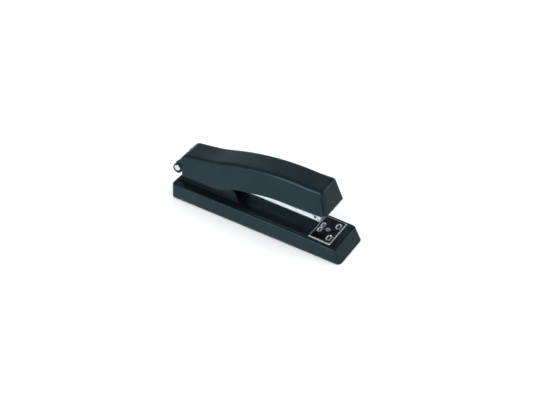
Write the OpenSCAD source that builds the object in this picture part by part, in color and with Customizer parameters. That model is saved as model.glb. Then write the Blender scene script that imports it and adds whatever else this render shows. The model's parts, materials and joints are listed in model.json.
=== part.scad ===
// Full-strip desk stapler: a hollow base with a turning anvil, a sheet-steel magazine
// and a moulded handle that swing on one hinge pin at the rear.
// Stations (x) are counted from the rear end of the base, y from the centre plane, z from
// the table. The finished parts are moved so that the origin lies under the base's middle.

/* [Base] */
// Length of the base, which is the length of the stapler
base_l = 190; // [188:0.5:192]
// Width of the base at the table
base_w = 43.8; // [43.4:0.2:46]
// Height of the base's flat top above the table
base_h = 16; // [15.6:0.1:16.4]
// How far the top is narrower than the bottom, on each side
base_draft = 1.4; // [1:0.1:1.8]
// Rounding of the base's corners, seen from above
base_corner_r = 4.6; // [4:0.1:5]
// Rounding along the base's top edges
base_edge_r = 1.2; // [0.8:0.1:1.4]
// Thickness of the base's walls and roof
base_wall = 2.2; // [2:0.1:2.4]
// Thickness of the non-slip pad
pad_t = 3; // [2.6:0.1:3.2]
// Gap between the base's rim and the table
rim_gap = 0.6; // [0.4:0.1:0.8]

/* [Hinge] */
// Station of the hinge pin
pin_x = 6; // [5.9:0.1:6.2]
// Height of the hinge pin above the table
pin_z = 34.9; // [34.7:0.1:35.1]
// Radius of the hinge pin
pin_r = 2.3; // [2.2:0.05:2.4]
// Radius of the pin's heads
pin_head_r = 3.3; // [3.1:0.1:3.6]
// Radial clearance of whatever turns on the pin
turn_fit = 0.06; // [0.04:0.01:0.08]
// Station of the bracket's front foot
bracket_x = 73.3; // [72:0.1:74]
// Thickness of the bracket's steel
bracket_t = 1.2; // [1.1:0.1:1.3]

/* [Magazine] */
// Width of the magazine's channel
mag_w = 14.8; // [14.6:0.1:15]
// Height of the channel's underside above the table
mag_z = 28.4; // [28.2:0.1:28.6]
// Height of the channel's walls
mag_h = 11.6; // [11.4:0.1:11.8]
// Thickness of the magazine's steel
mag_t = 0.8; // [0.7:0.05:0.9]
// Station of the magazine's front end
mag_front_x = 160; // [159.8:0.1:160.4]
// Length of the staple strip
strip_l = 60; // [40:5:60]

/* [Handle] */
// Half width of the handle's top
handle_top_w = 13; // [12.8:0.1:13.4]
// Half width of the handle's lower edges
handle_low_w = 17.3; // [17.1:0.1:17.6]
// Height of the handle's crest above the table
handle_crest_z = 69.4; // [69:0.2:70]
// Station of the crest
crest_x = 128.5; // [127:0.5:130]
// Curvature of the top's arch
arch_k = 0.00215; // [0.0021:0.00001:0.0022]
// Wall thickness of the handle
handle_wall = 2; // [1.8:0.1:2.2]
// Rounding of the handle's top edges
handle_edge = 3.2; // [2.6:0.1:3.6]

/* [Hidden] */

black = [0.10, 0.12, 0.13];
steel = [0.80, 0.81, 0.83];
dull_steel = [0.55, 0.56, 0.58];
rubber = [0.05, 0.05, 0.05];

round_fn = 64;
hull_fn = 32;
slack = 0.05;

// Base
base_hw = base_w / 2;
top_hw = base_hw - base_draft;
kink_x = 135;
nose_x = base_l - 7.2;
nose_drop = 1.3;
nose_tilt = atan(nose_drop / (nose_x - kink_x));
rear_inset = 0.6;
rib_t = 1.8;
rib_xs = [36, 70, 128, 146];
pad_clear = 0.15;

// Anvil, in a frame that lies on the sloping top of the base
anvil_x = 164.4;
anvil_z = base_h - (anvil_x - kink_x) * tan(nose_tilt);
anvil_size = [22.6, 33.8, 1.4];
anvil_bevel = 0.5;
pocket_depth = 0.6;
stud_r = 2;
stud_head_r = 2.4;
stud_head_h = 0.5;
stud_bottom = -11.3;
boss_r = 5.5;
boss_bottom = -3.2;
button_r = 6.5;
button_top = -8.2;
button_bottom = -10;
clip_z = -10.7;
clip_t = 0.6;
clip_neck_r = 1.5;
clip_r = 3.6;
anvil_coil_r = 3.6;
finger_r = 9.5;
anvil_pockets = [[-6.7, 3.6, 6.4, 3.4], [6.4, 9.2, 7.4, 4.2]];

// Hinge and bracket
bracket_hw = 12;
bracket_rear_x = 3;
neck_x = 8;
cheek_lobe_r = 5.2;
cheek_top = [62, 31.2];
rivet_r = 1.6;
rivet_head_r = 2.8;
rivet_head_h = 1.1;
rivet_xs = [24, 64];
rivet_y = 7;
rivet_tail_h = 0.8;
lift_rivet_x = 17;
lift_hw = 3.4;
lift_floor = base_h + bracket_t;
boss_face_y = 16.35;
pin_head_h = 1.15;
retainer_h = 0.9;
shell_pad_y = 12.5;
lobe_r = 5.7;
washer_r = 4.2;
pin_lobe_r = 4.6;
press = 0.01;

// Magazine
mag_hw = mag_w / 2;
mag_in = mag_hw - mag_t;
mag_top = mag_z + mag_h;
floor_z = mag_z + mag_t;
mag_floor_x = 14;
nose_t = 0.8;
strip_front = mag_front_x - 2;
tip_drop = 0.8;
tip_l = 3;
rail_hw = 5.7;
rail_top = 35.4;
rail_x = [22, strip_front - 1.5];
rail_slot_hw = 1.7;
rail_slot_x = [40, strip_front - 8];
rail_pin_x = 154.4;
rail_pin_z = 32.8;
rail_pin_r = 1.3;
staple_hw = 6.35;
staple_wire = 0.5;
staple_h = 6;
rod_z = 31.9;
rod_r = 1.2;
seat_x = [14, 20];
seat_h = 5.6;
seat_rivet_y = 4;
seat_rivet_r = 1;
bush_r = 3.7;
mag_lobe_r = 4.9;
rod_support_x = [150.6, 156.2];
rod_support_h = 5.25;
rod_socket_l = 1.6;
pusher_l = 12.4;
pusher_roof_t = 3.2;
pusher_skirt_z = 31;
pusher_ring_r = 2.5;
rail_gap = 0.15;
pusher_x = strip_front - strip_l - pusher_l;
ring_x = [pusher_x + 2, pusher_x + 8];

// Handle shell: the top is an arch that runs out into a straight line at the rear. The lower
// edge rises from the belly in two slopes to a level stretch, and on an arc to the front face
handle_rear = [11.7, 50.1];
rear_line_slope = 0.13;
rear_slant = 1.32;
front_top_x = 164.7;
front_low_x = 171;
low_rear_z = 27.7;
low_front_z = 46.4;
low_side_z = 44.25;
chin_x = 163;
chin_r = 8;
front_slant = (66.8 - low_front_z) / (front_low_x - front_top_x);
belly_line = [66, 33.8, 0.55];
arm_line = [86, 38.95, 0.185];
blend_top = 2.2;
blend_low = 2;
handle_x0 = 0.3;
shell_stations = 26;
edge_steps = 4;
lip_z = 45;

// Handle frame, in a frame that turns with the web about the hinge pin
web_angle = 3.55;
web_z = 7.4;
web_t = 1;
frame_in = 8.4;
frame_out = 9.4;
flange_h = 6.5;
web_x = [10, 153];
frame_lobe_r = 4.8;
tab_hw = 5.8;
tab_x = [157.4, 158.6];
tab_low_z = 46.5;
screw_xs = [54, 124];
screw_r = 1.5;
screw_head_r = 2.8;
screw_head_h = 1.4;
screw_l = 9;
screw_boss_r = 3.8;
cross_slot = [3.2, 0.7, 0.8];
blade_x = 158.6;
blade_t = 0.6;
blade_hw = 6.3;
blade_z = [37.2, 52.4];
blade_rivet_z = 49.6;
blade_rivet_y = 3.2;
blade_rivet_r = 0.9;
blade_rivet_head_r = 1.3;
leaf_t = 0.5;
leaf_rivet_x = 17;
leaf_rivet_r = 1.2;
leaf_hw = 4;

// A smooth larger and a smooth smaller of two values
function soft_max(a, b, s) = (a + b + sqrt((a - b) * (a - b) + s * s)) / 2;
function soft_min(a, b, s) = (a + b - sqrt((a - b) * (a - b) + s * s)) / 2;
function line_z(l, x) = l[1] + l[2] * (x - l[0]);
function cubic(p, t) =
    pow(1 - t, 3) * p[0] + 3 * pow(1 - t, 2) * t * p[1] + 3 * (1 - t) * t * t * p[2] + pow(t, 3) * p[3];
function curve(p, n) = [for (i = [0:n]) cubic(p, i / n)];
function arc(c, r, a0, a1, n) =
    [for (i = [0:n]) c + r * [cos(a0 + (a1 - a0) * i / n), sin(a0 + (a1 - a0) * i / n)]];
function reversed(v) = [for (i = [len(v) - 1:-1:0]) v[i]];
// The outline of a strip of sheet whose upper side follows the points
function sheet(points, t) = concat(points, reversed([for (p = points) [p[0], p[1] - t]]));

// The handle's top line, its lower edge, and its half width at a height
function top_z(x) = soft_max(
    handle_crest_z - arch_k * pow(x - crest_x, 2),
    handle_rear[1] + rear_line_slope * (x - handle_rear[0]) - 0.1,
    blend_top);
function skirt_z(x) = soft_min(
    soft_max(low_rear_z, soft_min(line_z(belly_line, x), line_z(arm_line, x), blend_low), blend_low),
    low_side_z,
    blend_low);
function chin_rise(x) =
    let (ahead = min(max(x - chin_x, 0), chin_r))
    chin_r - sqrt(chin_r * chin_r - ahead * ahead);
function low_z(x) = min(skirt_z(x) + chin_rise(x), low_front_z);
function half_w(x, z) =
    handle_top_w + (handle_low_w - handle_top_w) * (top_z(x) - z) / (top_z(x) - skirt_z(x));
// The top line cut off by the slanted rear and front, all moved inwards by w
function roof_z(x, w) = min(
    top_z(x) - w,
    handle_rear[1] + (x - handle_rear[0] - 1.26 * w) * rear_slant,
    low_front_z + (front_low_x - x - 1.05 * w) * front_slant);
// One cross-section of the handle as points in y and z, from one foot over the roof to the other
function half_section(x, w, foot) =
    let (top = max(roof_z(x, w), foot + 1))
    let (e = min(handle_edge - w / 2, (top - foot) / 2))
    let (corner = [half_w(x, top) - w, top])
    let (a = [half_w(x, top - e) - w, top - e])
    let (b = [corner[0] - e, top])
    concat([[half_w(x, foot) - w, foot]],
        [for (i = [0:edge_steps])
            let (t = i / edge_steps)
            pow(1 - t, 2) * a + 2 * t * (1 - t) * corner + t * t * b]);
function section(x, w, foot) =
    let (half = half_section(x, w, foot))
    concat([for (p = half) [x, p[0], p[1]]], [for (p = reversed(half)) [x, -p[0], p[1]]]);

module from_rear() {
    translate([-base_l / 2, 0, 0]) children();
}

// Extrudes an x-z outline to the stretch y0 to y1
module side_plate(y0, y1) {
    translate([0, y1, 0]) rotate([90, 0, 0]) linear_extrude(y1 - y0) children();
}

module both_sides() {
    children();
    mirror([0, 1, 0]) children();
}

module cross_cylinder(x, z, r, y0, y1) {
    translate([x, y1, z]) rotate([90, 0, 0]) cylinder(r = r, h = y1 - y0, $fn = round_fn);
}

module at_anvil() {
    from_rear() translate([anvil_x, 0, anvil_z]) rotate([0, nose_tilt, 0]) children();
}

module at_web() {
    from_rear() translate([pin_x, 0, pin_z]) rotate([0, -web_angle, 0]) children();
}

// A round wire wound along +z
module coil(r, wire, length, turns, steps) {
    sides = 6;
    rings = turns * steps;
    points = [for (i = [0:rings], j = [0:sides - 1])
        let (a = 360 * i / steps, b = 360 * j / sides, d = r + wire * cos(b))
        [d * cos(a), d * sin(a), wire + (length - 2 * wire) * i / rings + wire * sin(b)]];
    skin = [for (i = [0:rings - 1], j = [0:sides - 1])
        let (k = (j + 1) % sides)
        [i * sides + j, (i + 1) * sides + j, (i + 1) * sides + k, i * sides + k]];
    first = [for (j = [0:sides - 1]) j];
    last = [for (j = [sides - 1:-1:0]) rings * sides + j];
    polyhedron(points, concat(skin, [first, last]), convexity = 10);
}

// ---- Base ----

module puck(r, e) {
    rotate_extrude($fn = hull_fn)
        polygon(concat([[0, -2], [r, -2]], arc([r - e, -e], e, 0, 90, 4), [[0, 0]]));
}

// The base's outer form, moved inwards by w, with its open side at height z0
module base_form(w, z0) {
    foot_r = base_corner_r - w;
    top_r = base_corner_r - base_draft;
    e = base_edge_r;
    hull() {
        for (x = [base_corner_r, base_l - base_corner_r], s = [-1, 1])
            translate([x, s * (base_hw - base_corner_r), z0])
                cylinder(r = foot_r, h = 0.1, $fn = hull_fn);
        for (s = [-1, 1]) {
            y = s * (top_hw - w - top_r);
            translate([rear_inset + w + top_r, y, base_h - w]) puck(top_r, e);
            translate([kink_x - top_r + e, y, base_h - w]) puck(top_r, e);
            translate([nose_x - w - top_r + e, y, base_h - nose_drop - w]) puck(top_r, e);
        }
    }
}

// The places of the rivets through the base's top and the bracket's floor
module at_bracket_rivets() {
    for (x = rivet_xs, s = [-1, 1])
        translate([x, s * rivet_y, 0]) children();
}

module rivet_hole() {
    cylinder(r = rivet_r, h = lift_floor + 1, $fn = round_fn);
}

module base_shell() {
    color(black) difference() {
        union() {
            from_rear() difference() {
                base_form(0, rim_gap);
                base_form(base_wall, rim_gap - 1);
            }
            intersection() {
                from_rear() base_form(base_wall / 2, rim_gap);
                union() {
                    from_rear() for (x = rib_xs)
                        translate([x - rib_t / 2, -base_hw, pad_t]) cube([rib_t, base_w, base_h]);
                    at_anvil() translate([0, 0, boss_bottom])
                        cylinder(r = boss_r, h = -boss_bottom, $fn = round_fn);
                }
            }
        }
        at_anvil() translate([0, 0, -base_h])
            cylinder(r = stud_r + turn_fit, h = 2 * base_h, $fn = round_fn);
        from_rear() at_bracket_rivets() rivet_hole();
        from_rear() translate([lift_rivet_x, 0, 0]) rivet_hole();
    }
}

module base_pad() {
    corner_r = base_corner_r - base_wall - pad_clear - 0.6;
    front_inset = 1.6;
    groove = [2, base_hw, 0.6];
    grooves = 10;
    groove_pitch = 13;
    color(rubber) from_rear() difference() {
        hull() for (x = [base_corner_r, base_l - base_corner_r - front_inset], s = [-1, 1])
            translate([x, s * (base_hw - base_corner_r), 0])
                cylinder(r = corner_r, h = pad_t, $fn = hull_fn);
        translate([anvil_x, 0, -1]) cylinder(r = finger_r, h = pad_t + 2, $fn = round_fn);
        for (i = [0:grooves - 1])
            translate([22 + groove_pitch * i, -groove[1] / 2, -1])
                cube([groove[0], groove[1], 1 + groove[2]]);
    }
}

// ---- Hinge bracket and its fasteners ----

function bracket_front() = curve([[66.5, 29.4], [70.5, 26], [71.8, 20.5], [bracket_x, base_h]], 10);

module cheek() {
    lobe_top = [pin_x + 0.7, pin_z + cheek_lobe_r - slack];
    difference() {
        union() {
            translate([pin_x, pin_z]) circle(r = cheek_lobe_r, $fn = round_fn);
            polygon(concat(
                [[neck_x, base_h], [neck_x, pin_z], [pin_x, pin_z], lobe_top, cheek_top],
                bracket_front()));
        }
        translate([pin_x, pin_z]) circle(r = pin_r + press, $fn = round_fn);
    }
}

module hinge_bracket() {
    floor_l = bracket_x - bracket_rear_x;
    color(black) from_rear() difference() {
        union() {
            translate([bracket_rear_x, -bracket_hw, base_h])
                cube([floor_l, 2 * bracket_hw, bracket_t]);
            both_sides() side_plate(bracket_hw - bracket_t, bracket_hw) cheek();
        }
        at_bracket_rivets() rivet_hole();
        translate([lift_rivet_x, 0, 0]) rivet_hole();
    }
}

// A rivet through sheets from z0 up to z1, with a domed head above and a flat one below
module rivet(r, head_r, head_h, z0, z1) {
    dome = (head_r * head_r + head_h * head_h) / (2 * head_h);
    translate([0, 0, z0]) cylinder(r = r, h = z1 - z0, $fn = round_fn);
    intersection() {
        translate([0, 0, z1 + head_h - dome]) sphere(r = dome, $fn = round_fn);
        translate([0, 0, z1]) cylinder(r = head_r, h = head_h + 1, $fn = round_fn);
    }
    translate([0, 0, z0 - rivet_tail_h])
        cylinder(r = head_r - 0.4, h = rivet_tail_h, $fn = round_fn);
}

module bracket_rivets() {
    color(dull_steel) from_rear() at_bracket_rivets()
        rivet(rivet_r, rivet_head_r, rivet_head_h, base_h - base_wall, lift_floor);
}

// The lift spring starts flat on the bracket's floor, rises in a long curve to the magazine's
// underside and ends in a small curl
module lift_spring() {
    flat_z = lift_floor + leaf_t;
    top = mag_z - slack;
    rise = curve([[24, flat_z], [33, flat_z], [43, top - 1.55], [52, top]], 14);
    curl = curve([[53, top], [54.5, top - 0.05], [56, top - 0.75], [57, top - 1.95]], 5);
    color(steel) from_rear() difference() {
        side_plate(-lift_hw, lift_hw) polygon(sheet(concat([[11, flat_z]], rise, curl), leaf_t));
        translate([lift_rivet_x, 0, base_h]) cylinder(r = rivet_r, h = 6, $fn = round_fn);
    }
}

module lift_spring_rivet() {
    color(dull_steel) from_rear() translate([lift_rivet_x, 0, 0])
        rivet(rivet_r, rivet_head_r, rivet_head_h, base_h - base_wall, lift_floor + leaf_t);
}

// The outline of a head of height h with a rounded rim, around a bore of radius r0
module head_outline(r0, r1, h, e) {
    polygon(concat([[r0, 0], [r1, 0]], arc([r1 - e, h - e], e, 0, 90, 4), [[r0, h]]));
}

module hinge_pin() {
    head_y = boss_face_y + slack;
    color(steel) from_rear() {
        cross_cylinder(pin_x, pin_z, pin_r, -head_y, head_y + retainer_h + 0.25);
        translate([pin_x, -head_y, pin_z]) rotate([90, 0, 0]) rotate_extrude($fn = round_fn)
            head_outline(0, pin_head_r, pin_head_h, 0.7);
    }
}

module pin_retainer() {
    color(steel) from_rear() translate([pin_x, boss_face_y + slack, pin_z]) rotate([-90, 0, 0])
        rotate_extrude($fn = round_fn)
            head_outline(pin_r + press, pin_head_r, retainer_h, 0.6);
}

module washer(y0, y1) {
    difference() {
        cross_cylinder(pin_x, pin_z, washer_r, y0, y1);
        cross_cylinder(pin_x, pin_z, pin_r + press, y0 - 1, y1 + 1);
    }
}

module hinge_washers() {
    color(dull_steel) from_rear() both_sides() {
        washer(mag_hw + slack, frame_in - slack);
        washer(frame_out + slack, bracket_hw - bracket_t);
    }
}

// ---- Anvil ----

// A slot with round ends, along y
module pocket(x, y, length, width) {
    r = width / 2;
    translate([x, y, anvil_size[2] - pocket_depth]) {
        translate([-r, -length / 2 + r, 0]) cube([width, length - width, 2]);
        for (s = [-1, 1])
            translate([0, s * (length / 2 - r), 0]) cylinder(r = r, h = 2, $fn = round_fn);
    }
}

module anvil_plate() {
    size = anvil_size;
    flat_l = size[0] - 2 * anvil_bevel;
    flat_w = size[1] - 2 * anvil_bevel;
    color(black) at_anvil() difference() {
        translate([0, 0, 0.02]) hull() {
            translate([-size[0] / 2, -size[1] / 2, 0])
                cube([size[0], size[1], size[2] - anvil_bevel]);
            translate([-flat_l / 2, -flat_w / 2, 0]) cube([flat_l, flat_w, size[2] - 0.02]);
        }
        translate([0, 0, -1]) cylinder(r = stud_r + press, h = 4, $fn = round_fn);
        for (p = anvil_pockets, s = [-1, 1])
            pocket(p[0], s * p[1], p[2], p[3]);
    }
}

module anvil_stud() {
    color(dull_steel) at_anvil() difference() {
        union() {
            translate([0, 0, stud_bottom])
                cylinder(r = stud_r, h = anvil_size[2] - stud_bottom, $fn = round_fn);
            translate([0, 0, anvil_size[2]])
                cylinder(r = stud_head_r, h = stud_head_h, $fn = round_fn);
        }
        translate([0, 0, clip_z]) difference() {
            cylinder(r = stud_r + 1, h = clip_t, $fn = round_fn);
            cylinder(r = clip_neck_r, h = clip_t, $fn = round_fn);
        }
    }
}

module anvil_button() {
    color(black) at_anvil() difference() {
        union() {
            translate([0, 0, button_bottom])
                cylinder(r = button_r, h = button_top - button_bottom, $fn = round_fn);
            translate([0, 0, button_top]) cylinder(r = stud_r + 0.7, h = 1, $fn = round_fn);
        }
        translate([0, 0, button_bottom - 1]) cylinder(r = stud_r + turn_fit, h = 6, $fn = round_fn);
    }
}

module anvil_spring() {
    color(steel) at_anvil() translate([0, 0, button_top + slack])
        coil(anvil_coil_r, 0.3, boss_bottom - button_top - 2 * slack, 4, 16);
}

module anvil_clip() {
    mouth_w = 2.4;
    color(dull_steel) at_anvil() translate([0, 0, clip_z + 0.02]) difference() {
        cylinder(r = clip_r, h = clip_t - 0.04, $fn = round_fn);
        translate([0, 0, -1]) cylinder(r = clip_neck_r + press, h = 3, $fn = round_fn);
        translate([0, -mouth_w / 2, -1]) cube([clip_r + 1, mouth_w, 3]);
    }
}

// ---- Magazine ----

module mag_wall_outline() {
    tip_z = mag_z - tip_drop;
    difference() {
        union() {
            translate([pin_x, pin_z]) circle(r = mag_lobe_r, $fn = round_fn);
            polygon([
                [pin_x, pin_z - mag_lobe_r], [mag_floor_x, mag_z], [mag_front_x - tip_l, mag_z],
                [mag_front_x - tip_l / 3, tip_z], [mag_front_x, tip_z], [mag_front_x, mag_top],
                [mag_floor_x, mag_top], [pin_x, pin_z + mag_lobe_r]]);
        }
        translate([pin_x, pin_z]) circle(r = pin_r + turn_fit, $fn = round_fn);
        translate([rail_pin_x, rail_pin_z]) circle(r = rail_pin_r + press, $fn = round_fn);
    }
}

// The places of the two rivets that hold the spring seat on the magazine's floor
module at_seat_rivets() {
    for (s = [-1, 1])
        translate([(seat_x[0] + seat_x[1]) / 2, s * seat_rivet_y, mag_z]) children();
}

// A cylinder along x at the guide rod's height
module rod_cylinder(x0, x1, r) {
    translate([x0, 0, rod_z]) rotate([0, 90, 0]) cylinder(r = r, h = x1 - x0, $fn = round_fn);
}

module magazine_channel() {
    floor_l = strip_front - mag_floor_x;
    color(steel) from_rear() difference() {
        union() {
            both_sides() side_plate(mag_in, mag_hw) mag_wall_outline();
            translate([mag_floor_x, -mag_hw, mag_z]) cube([floor_l, mag_w, mag_t]);
        }
        at_seat_rivets() translate([0, 0, -1])
            cylinder(r = seat_rivet_r, h = mag_t + 3, $fn = round_fn);
    }
}

module magazine_nose() {
    window = [nose_t + 2, 10, 4];
    color(dull_steel) from_rear() difference() {
        translate([mag_front_x + 0.02, -mag_hw, mag_z - 0.3]) cube([nose_t, mag_w, mag_h + 0.3]);
        translate([mag_front_x - 1, -window[1] / 2, mag_top - 3]) cube(window);
    }
}

module staple_rail() {
    w = rail_hw;
    l = rail_x[1] - rail_x[0];
    h = rail_top - floor_z;
    slot_l = rail_slot_x[1] - rail_slot_x[0];
    color(dull_steel) from_rear() difference() {
        translate([rail_x[0], -w, floor_z]) cube([l, 2 * w, h]);
        translate([rail_x[0] - 1, -w + mag_t, floor_z - 1]) cube([l + 2, 2 * (w - mag_t), h - mag_t + 1]);
        translate([rail_slot_x[0], -rail_slot_hw, floor_z]) cube([slot_l, 2 * rail_slot_hw, h + 1]);
        cross_cylinder(rail_pin_x, rail_pin_z, rail_pin_r + press, -w - 1, w + 1);
    }
}

// Ties the rod support to the rail; it is put in through the holes in the channel's walls
module rail_pin() {
    color(black) from_rear()
        cross_cylinder(rail_pin_x, rail_pin_z, rail_pin_r, -rail_hw, rail_hw);
}

module hinge_bush() {
    color(dull_steel) from_rear() difference() {
        cross_cylinder(pin_x, pin_z, bush_r, -mag_in, mag_in);
        cross_cylinder(pin_x, pin_z, pin_r + turn_fit, -mag_in - 1, mag_in + 1);
    }
}

module spring_seat() {
    w = mag_in - slack;
    color(dull_steel) from_rear() difference() {
        translate([seat_x[0], -w, floor_z]) cube([seat_x[1] - seat_x[0], 2 * w, seat_h]);
        rod_cylinder(seat_x[0] - 1, seat_x[1] + 1, rod_r + press);
        at_seat_rivets() cylinder(r = seat_rivet_r, h = mag_t + seat_h + 1, $fn = round_fn);
    }
}

module seat_rivets() {
    top = mag_t + seat_h;
    head_h = 0.6;
    tail_h = 0.4;
    color(dull_steel) from_rear() at_seat_rivets() {
        cylinder(r = seat_rivet_r, h = top, $fn = round_fn);
        translate([0, 0, top]) cylinder(r = seat_rivet_r + 0.7, h = head_h, $fn = round_fn);
        translate([0, 0, -tail_h]) cylinder(r = seat_rivet_r + 0.6, h = tail_h, $fn = round_fn);
    }
}

// A block inside the rail's front end, which holds the guide rod and sits on the rail's pin
module rod_support() {
    w = rail_hw - mag_t - slack;
    l = rod_support_x[1] - rod_support_x[0];
    color(dull_steel) from_rear() difference() {
        translate([rod_support_x[0], -w, floor_z]) cube([l, 2 * w, rod_support_h]);
        rod_cylinder(rod_support_x[0] - 1, rod_support_x[0] + rod_socket_l, rod_r + press);
        cross_cylinder(rail_pin_x, rail_pin_z, rail_pin_r + press, -w - 1, w + 1);
    }
}

module guide_rod() {
    x0 = seat_x[0] - 1;
    head_l = 0.8;
    color(steel) from_rear() {
        rod_cylinder(x0, rod_support_x[0] + rod_socket_l - 0.1, rod_r);
        rod_cylinder(x0 - head_l, x0, rod_r + 0.8);
    }
}

module pusher_spring() {
    color(steel) from_rear() translate([seat_x[1] + slack, 0, rod_z]) rotate([0, 90, 0])
        coil(1.9, 0.28, ring_x[0] - seat_x[1] - 2 * slack, 28, 12);
}

// A strip of glued staples, astride the rail
module staple_strip() {
    x0 = strip_front - strip_l;
    crown_z = rail_top + slack;
    legs_in = staple_hw - staple_wire;
    color(steel) from_rear() difference() {
        translate([x0, -staple_hw, crown_z + staple_wire - staple_h])
            cube([strip_l, 2 * staple_hw, staple_h]);
        translate([x0 - 1, -legs_in, 0]) cube([strip_l + 2, 2 * legs_in, crown_z]);
    }
}

// The pusher rides astride the rail; a ring on a web through the rail's slot runs on the rod
module pusher() {
    outer = mag_in - 0.3;
    inner = rail_hw + 0.2;
    l = pusher_l - 0.02;
    roof_z = rail_top + rail_gap;
    web_hw = 1.3;
    ring_l = ring_x[1] - ring_x[0];
    color(black) from_rear() difference() {
        union() {
            translate([pusher_x, -outer, roof_z]) cube([l, 2 * outer, pusher_roof_t]);
            both_sides() translate([pusher_x, inner, pusher_skirt_z])
                cube([l, outer - inner, roof_z + 1 - pusher_skirt_z]);
            translate([ring_x[0], -web_hw, rod_z + 1.5])
                cube([ring_l, 2 * web_hw, roof_z + 1 - rod_z - 1.5]);
            rod_cylinder(ring_x[0], ring_x[1], pusher_ring_r);
        }
        rod_cylinder(ring_x[0] - 1, ring_x[1] + 1, rod_r + turn_fit);
    }
}

// ---- Handle ----

// The handle's solid form, moved inwards by w; its foot follows the lower edge, moved down by drop
module handle_form(w, drop) {
    x0 = handle_x0 + 1.3 * w;
    x1 = front_low_x - 1.05 * w;
    n = shell_stations;
    xs = concat(
        [for (i = [0:5]) x0 + (handle_rear[0] + w - x0) * i / 5],
        [for (i = [1:n]) handle_rear[0] + w + (front_top_x - w - handle_rear[0] - w) * i / n],
        [for (i = [1:4]) front_top_x - w + (x1 - front_top_x + w) * i / 4]);
    rings = [for (x = xs) section(x, w, low_z(x) - drop)];
    m = len(rings[0]);
    points = [for (r = rings, p = r) p];
    skin = [for (i = [0:len(rings) - 2], j = [0:m - 1])
        let (k = (j + 1) % m)
        [i * m + j, (i + 1) * m + j, (i + 1) * m + k, i * m + k]];
    first = [for (j = [0:m - 1]) j];
    last = [for (j = [m - 1:-1:0]) (len(rings) - 1) * m + j];
    polyhedron(points, concat(skin, [first, last]), convexity = 6);
}

// Where a screw boss at x in the web's frame ends, halfway through the roof
function boss_top(x) =
    (top_z(pin_x + x - 1.5) - handle_wall / 2 - pin_z - x * sin(web_angle)) / cos(web_angle);

module rear_cutters() {
    // Leaves a round lobe about the pin on each side
    side_plate(-30, 30) difference() {
        translate([-10, 10]) square([10 + 11.5, pin_z - 10]);
        translate([pin_x, pin_z]) circle(r = lobe_r, $fn = round_fn);
    }
    // Opens the rear between the sides, under the lip
    translate([-10, -shell_pad_y, 10]) cube([22, 2 * shell_pad_y, lip_z - 10]);
}

module at_screws() {
    at_web() for (x = screw_xs) translate([x, 0, web_z]) children();
}

module handle_shell() {
    color(black) difference() {
        union() {
            from_rear() difference() {
                handle_form(0, 0);
                handle_form(handle_wall, 6);
                rear_cutters();
            }
            from_rear() both_sides()
                cross_cylinder(pin_x, pin_z, pin_lobe_r, shell_pad_y, boss_face_y);
            at_web() for (x = screw_xs)
                translate([x, 0, web_z + web_t])
                    cylinder(r = screw_boss_r, h = boss_top(x) - web_z - web_t, $fn = round_fn);
        }
        from_rear() cross_cylinder(pin_x, pin_z, pin_r + turn_fit, -30, 30);
        // Flat faces under the pin's heads
        from_rear() both_sides() cross_cylinder(pin_x, pin_z, pin_lobe_r, boss_face_y, 30);
        at_screws() cylinder(r = screw_r, h = screw_l + web_t, $fn = round_fn);
    }
}

module frame_side() {
    low = web_z - flange_h;
    high = web_z + web_t;
    difference() {
        union() {
            circle(r = frame_lobe_r, $fn = round_fn);
            polygon([[0, -frame_lobe_r], [web_x[0] + 14, low], [web_x[1], low],
                [web_x[1], high], [web_x[0], high], [0, frame_lobe_r]]);
        }
        circle(r = pin_r + turn_fit, $fn = round_fn);
    }
}

// The places of the two rivets that hold the driver blade, each looking along +x
module at_blade_rivets() {
    for (s = [-1, 1])
        translate([tab_x[0], s * blade_rivet_y, blade_rivet_z]) rotate([0, 90, 0]) children();
}

module handle_frame() {
    tab_top_z = blade_z[1] + 0.6;
    web_l = web_x[1] - web_x[0];
    color(dull_steel) difference() {
        union() {
            at_web() {
                both_sides() side_plate(frame_in, frame_out) frame_side();
                translate([web_x[0], -frame_out, web_z]) cube([web_l, 2 * frame_out, web_t]);
            }
            from_rear() translate([tab_x[0], -tab_hw, tab_low_z])
                cube([tab_x[1] - tab_x[0], 2 * tab_hw, tab_top_z - tab_low_z]);
        }
        at_screws() translate([0, 0, -1]) cylinder(r = screw_r, h = 4, $fn = round_fn);
        at_web() translate([leaf_rivet_x, 0, web_z - 1])
            cylinder(r = leaf_rivet_r, h = 4, $fn = round_fn);
        from_rear() at_blade_rivets() translate([0, 0, -1])
            cylinder(r = blade_rivet_r, h = 4, $fn = round_fn);
    }
}

module frame_screws() {
    slot = cross_slot;
    color(steel) at_screws() {
        cylinder(r = screw_r, h = screw_l, $fn = round_fn);
        translate([0, 0, -screw_head_h]) difference() {
            cylinder(r = screw_head_r, h = screw_head_h, $fn = round_fn);
            for (a = [0, 90])
                rotate([0, 0, a]) translate([-slot[0] / 2, -slot[1] / 2, -1])
                    cube([slot[0], slot[1], 1 + slot[2]]);
        }
    }
}

module driver_blade() {
    color(steel) from_rear() difference() {
        translate([blade_x, -blade_hw, blade_z[0]])
            cube([blade_t, 2 * blade_hw, blade_z[1] - blade_z[0]]);
        at_blade_rivets() cylinder(r = blade_rivet_r, h = 4, $fn = round_fn);
    }
}

module driver_rivets() {
    stack = blade_x + blade_t - tab_x[0];
    head_h = 0.6;
    tail_h = 0.5;
    color(dull_steel) from_rear() at_blade_rivets() {
        translate([0, 0, -tail_h]) cylinder(r = blade_rivet_head_r, h = tail_h, $fn = round_fn);
        cylinder(r = blade_rivet_r, h = stack, $fn = round_fn);
        translate([0, 0, stack]) cylinder(r = blade_rivet_head_r, h = head_h, $fn = round_fn);
    }
}

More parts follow.
